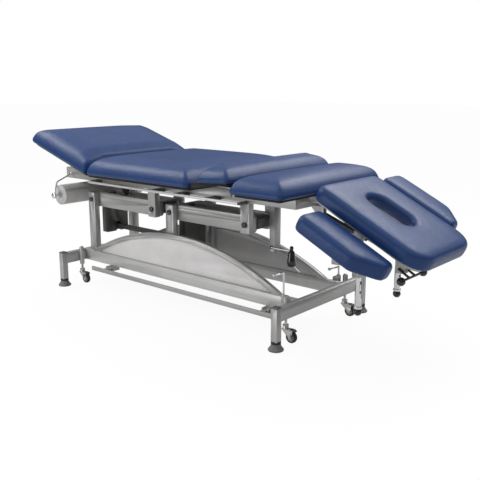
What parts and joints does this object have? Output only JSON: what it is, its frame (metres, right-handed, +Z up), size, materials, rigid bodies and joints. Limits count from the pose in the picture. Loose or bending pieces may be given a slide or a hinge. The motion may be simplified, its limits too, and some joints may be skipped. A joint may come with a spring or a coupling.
{
  "type": "chiropractic table",
  "caption": "Height-adjustable chiropractic treatment table with tilting blue padded sections, face hole, drop armrests, paper roll and pedal-lowered castors.",
  "frame": {"origin": "middle of the floor print of the bounding box, on the floor", "axes": "+X from the foot end to the head end, +Y towards the far side, +Z up"},
  "size_m": [2.1466, 0.756, 0.806],
  "materials": {
    "silver": "semi-gloss silver-grey powder coat",
    "panel": "gloss pale grey panel",
    "cap_grey": "matt grey plastic caps",
    "foot_grey": "matt grey plastic feet",
    "black_rubber": "black rubber rings",
    "dark_steel": "dark grey paint",
    "actuator_black": "black plastic housing",
    "chrome": "polished chrome",
    "castor_chrome": "plated castor steel",
    "wheel": "dark castor tyre with grey hub",
    "strut_black": "black gas strut",
    "knob_black": "gloss black knobs and handles",
    "board": "black underside board",
    "vinyl": "smooth navy blue vinyl",
    "paper": "white paper"
  },
  "bodies": {
    "base": {"end_frame_foot": "silver", "end_frame_head": "silver", "side_rails": "silver", "side_arches": "silver", "arch_panels": "panel", "leg_caps": "cap_grey", "foot_rings": "black_rubber", "foot_pads": "foot_grey", "lift_posts": "silver", "base_pivot_bolts": "dark_steel", "actuator_mount": "silver", "base_fittings": "silver"},
    "foot_arm": {"link_arms_foot": "silver", "crank_foot": "dark_steel"},
    "head_arm": {"link_arms_head": "silver", "crank_head": "dark_steel"},
    "upper_body": {"upper_frame": "silver", "deck_boards": "board", "hangers": "silver", "upper_pins": "dark_steel", "seat_cushion": "vinyl", "chest_cushion": "vinyl", "side_bar": "silver", "roll_holder": "chrome"},
    "drawbar": {"drawbar": "dark_steel"},
    "actuator": {"actuator_body": "actuator_black"},
    "actuator_rod": {"actuator_rod": "chrome"},
    "leg_section": {"leg_board": "board", "leg_cushion": "vinyl"},
    "narrow_section": {"narrow_board": "board", "narrow_cushion": "vinyl"},
    "head_section": {"head_frame": "silver", "head_cushion": "vinyl", "armrest_tubes": "chrome"},
    "armrest_near": {"armrest_bracket_near": "silver", "armrest_cushion_near": "vinyl"},
    "armrest_far": {"armrest_bracket_far": "silver", "armrest_cushion_far": "vinyl"},
    "tube_knob_near": {"tube_knob_near": "knob_black"},
    "tube_knob_far": {"tube_knob_far": "knob_black"},
    "tilt_handle": {"tilt_handle": "knob_black"},
    "strut": {"strut_cylinder": "strut_black"},
    "strut_rod": {"strut_rod": "chrome"},
    "hand_lever": {"hand_lever": "knob_black"},
    "paper_roll": {"paper_roll": "paper"},
    "pedal": {"pedal_bar": "silver"},
    "upright_lever_near": {"upright_lever_near": "chrome"},
    "upright_lever_far": {"upright_lever_far": "chrome"},
    "castor_stem_foot_near": {"castor_stem_foot_near": "castor_chrome"},
    "castor_fork_foot_near": {"castor_fork_foot_near": "castor_chrome"},
    "castor_wheel_foot_near": {"castor_wheel_foot_near": "wheel"},
    "castor_stem_foot_far": {"castor_stem_foot_far": "castor_chrome"},
    "castor_fork_foot_far": {"castor_fork_foot_far": "castor_chrome"},
    "castor_wheel_foot_far": {"castor_wheel_foot_far": "wheel"},
    "castor_stem_head_near": {"castor_stem_head_near": "castor_chrome"},
    "castor_fork_head_near": {"castor_fork_head_near": "castor_chrome"},
    "castor_wheel_head_near": {"castor_wheel_head_near": "wheel"},
    "castor_stem_head_far": {"castor_stem_head_far": "castor_chrome"},
    "castor_fork_head_far": {"castor_fork_head_far": "castor_chrome"},
    "castor_wheel_head_far": {"castor_wheel_head_far": "wheel"}
  },
  "joints": [
    {"name": "lift", "type": "hinge", "parent": "base", "child": "foot_arm", "pos_m": [-0.84877, -0.006, 0.443], "axis": [0, -1, 0], "range_deg": [-6, 38]},
    {"name": "head_arm_turn", "type": "hinge", "parent": "base", "child": "head_arm", "pos_m": [-0.25877, -0.006, 0.443], "axis": [0, -1, 0], "range_deg": [-6, 38]},
    {"name": "upper_level", "type": "hinge", "parent": "foot_arm", "child": "upper_body", "pos_m": [-0.38277, -0.006, 0.443], "axis": [0, -1, 0], "range_deg": [-38, 6]},
    {"name": "drawbar_turn", "type": "hinge", "parent": "foot_arm", "child": "drawbar", "pos_m": [-0.84877, -0.006, 0.282], "axis": [0, -1, 0], "range_deg": [-38, 6]},
    {"name": "actuator_swing", "type": "hinge", "parent": "base", "child": "actuator", "pos_m": [-0.68877, 0.039, 0.2], "axis": [0, -1, 0], "range_deg": [-0.3, 1.6]},
    {"name": "actuator_stroke", "type": "slide", "parent": "actuator", "child": "actuator_rod", "axis": [0.9823, 0, 0.1873], "range_m": [-0.017, 0.106]},
    {"name": "leg_tilt", "type": "hinge", "parent": "upper_body", "child": "leg_section", "pos_m": [-0.63277, -0.006, 0.59], "axis": [0, 1, 0], "range_deg": [-17.3, 9]},
    {"name": "narrow_tilt", "type": "hinge", "parent": "upper_body", "child": "narrow_section", "pos_m": [0.06323, -0.006, 0.59], "axis": [0, -1, 0], "range_deg": [-4, 6]},
    {"name": "head_tilt", "type": "hinge", "parent": "upper_body", "child": "head_section", "pos_m": [0.58623, -0.006, 0.575], "axis": [0, -1, 0], "range_deg": [-10, 30]},
    {"name": "armrest_near_height", "type": "slide", "parent": "head_section", "child": "armrest_near", "axis": [0, 0, 1], "range_m": [-0.03, 0.072]},
    {"name": "armrest_far_height", "type": "slide", "parent": "head_section", "child": "armrest_far", "axis": [0, 0, 1], "range_m": [-0.12, 0]},
    {"name": "tube_knob_near_pull", "type": "slide", "parent": "head_section", "child": "tube_knob_near", "axis": [0, 0, -1], "range_m": [0, 0.008], "stiffness_N_per_m": 900, "springref_m": -0.006},
    {"name": "tube_knob_far_pull", "type": "slide", "parent": "head_section", "child": "tube_knob_far", "axis": [0, 0, -1], "range_m": [0, 0.008], "stiffness_N_per_m": 900, "springref_m": -0.006},
    {"name": "tilt_handle_turn", "type": "hinge", "parent": "head_section", "child": "tilt_handle", "pos_m": [0.87823, -0.006, 0.338], "axis": [0, -1, 0], "range_deg": [-12, 18]},
    {"name": "strut_swing", "type": "hinge", "parent": "upper_body", "child": "strut", "pos_m": [0.50123, -0.006, 0.51], "axis": [0, -1, 0], "range_deg": [-9, 26]},
    {"name": "strut_stroke", "type": "slide", "parent": "strut", "child": "strut_rod", "axis": [0.9406, 0, -0.3396], "range_m": [-0.0145, 0.0425]},
    {"name": "hand_lever_turn", "type": "hinge", "parent": "upper_body", "child": "hand_lever", "pos_m": [0.25723, -0.006, 0.33], "axis": [0, -1, 0], "range_deg": [-12, 12]},
    {"name": "paper_roll_spin", "type": "hinge", "parent": "upper_body", "child": "paper_roll", "pos_m": [-0.96077, -0.006, 0.468], "axis": [0, 1, 0], "continuous": true},
    {"name": "pedal_press", "type": "hinge", "parent": "base", "child": "pedal", "pos_m": [-0.18877, -0.211, 0.105], "axis": [1, 0, 0], "range_deg": [0, 12]},
    {"name": "castor_foot_near_lower", "type": "slide", "parent": "base", "child": "castor_stem_foot_near", "axis": [0, 0, 1], "range_m": [-0.0085, 0]},
    {"name": "castor_foot_near_swivel", "type": "hinge", "parent": "castor_stem_foot_near", "child": "castor_fork_foot_near", "pos_m": [-0.86477, -0.228, 0.072], "axis": [0, 0, 1], "continuous": true},
    {"name": "castor_foot_near_spin", "type": "hinge", "parent": "castor_fork_foot_near", "child": "castor_wheel_foot_near", "pos_m": [-0.83477, -0.228, 0.03], "axis": [0, 1, 0], "continuous": true},
    {"name": "castor_foot_far_lower", "type": "slide", "parent": "base", "child": "castor_stem_foot_far", "axis": [0, 0, 1], "range_m": [-0.0085, 0]},
    {"name": "castor_foot_far_swivel", "type": "hinge", "parent": "castor_stem_foot_far", "child": "castor_fork_foot_far", "pos_m": [-0.86477, 0.216, 0.072], "axis": [0, 0, 1], "continuous": true},
    {"name": "castor_foot_far_spin", "type": "hinge", "parent": "castor_fork_foot_far", "child": "castor_wheel_foot_far", "pos_m": [-0.83477, 0.216, 0.03], "axis": [0, 1, 0], "continuous": true},
    {"name": "castor_head_near_lower", "type": "slide", "parent": "base", "child": "castor_stem_head_near", "axis": [0, 0, 1], "range_m": [-0.0085, 0]},
    {"name": "castor_head_near_swivel", "type": "hinge", "parent": "castor_stem_head_near", "child": "castor_fork_head_near", "pos_m": [0.48723, -0.228, 0.072], "axis": [0, 0, 1], "continuous": true},
    {"name": "castor_head_near_spin", "type": "hinge", "parent": "castor_fork_head_near", "child": "castor_wheel_head_near", "pos_m": [0.51723, -0.228, 0.03], "axis": [0, 1, 0], "continuous": true},
    {"name": "castor_head_far_lower", "type": "slide", "parent": "base", "child": "castor_stem_head_far", "axis": [0, 0, 1], "range_m": [-0.0085, 0]},
    {"name": "castor_head_far_swivel", "type": "hinge", "parent": "castor_stem_head_far", "child": "castor_fork_head_far", "pos_m": [0.48723, 0.216, 0.072], "axis": [0, 0, 1], "continuous": true},
    {"name": "castor_head_far_spin", "type": "hinge", "parent": "castor_fork_head_far", "child": "castor_wheel_head_far", "pos_m": [0.51723, 0.216, 0.03], "axis": [0, 1, 0], "continuous": true},
    {"name": "upright_lever_near_turn", "type": "hinge", "parent": "base", "child": "upright_lever_near", "pos_m": [0.46123, -0.211, 0.189], "axis": [0, 0, 1], "range_deg": [-40, 40]},
    {"name": "upright_lever_far_turn", "type": "hinge", "parent": "base", "child": "upright_lever_far", "pos_m": [0.46123, 0.199, 0.189], "axis": [0, 0, 1], "range_deg": [-40, 40]}
  ],
  "couplings": [
    {"joint": "head_arm_turn", "follows": "lift", "ratio": 1},
    {"joint": "upper_level", "follows": "lift", "ratio": -1},
    {"joint": "drawbar_turn", "follows": "lift", "ratio": -1},
    {"joint": "actuator_swing", "follows": "lift", "ratio": 0.04},
    {"joint": "actuator_stroke", "follows": "lift", "m_per_rad": 0.159},
    {"joint": "strut_swing", "follows": "head_tilt", "ratio": 0.83},
    {"joint": "strut_stroke", "follows": "head_tilt", "m_per_rad": 0.08},
    {"joint": "castor_foot_near_lower", "follows": "pedal_press", "m_per_rad": -0.0382},
    {"joint": "castor_foot_far_lower", "follows": "pedal_press", "m_per_rad": -0.0382},
    {"joint": "castor_head_near_lower", "follows": "pedal_press", "m_per_rad": -0.0382},
    {"joint": "castor_head_far_lower", "follows": "pedal_press", "m_per_rad": -0.0382}
  ]
}
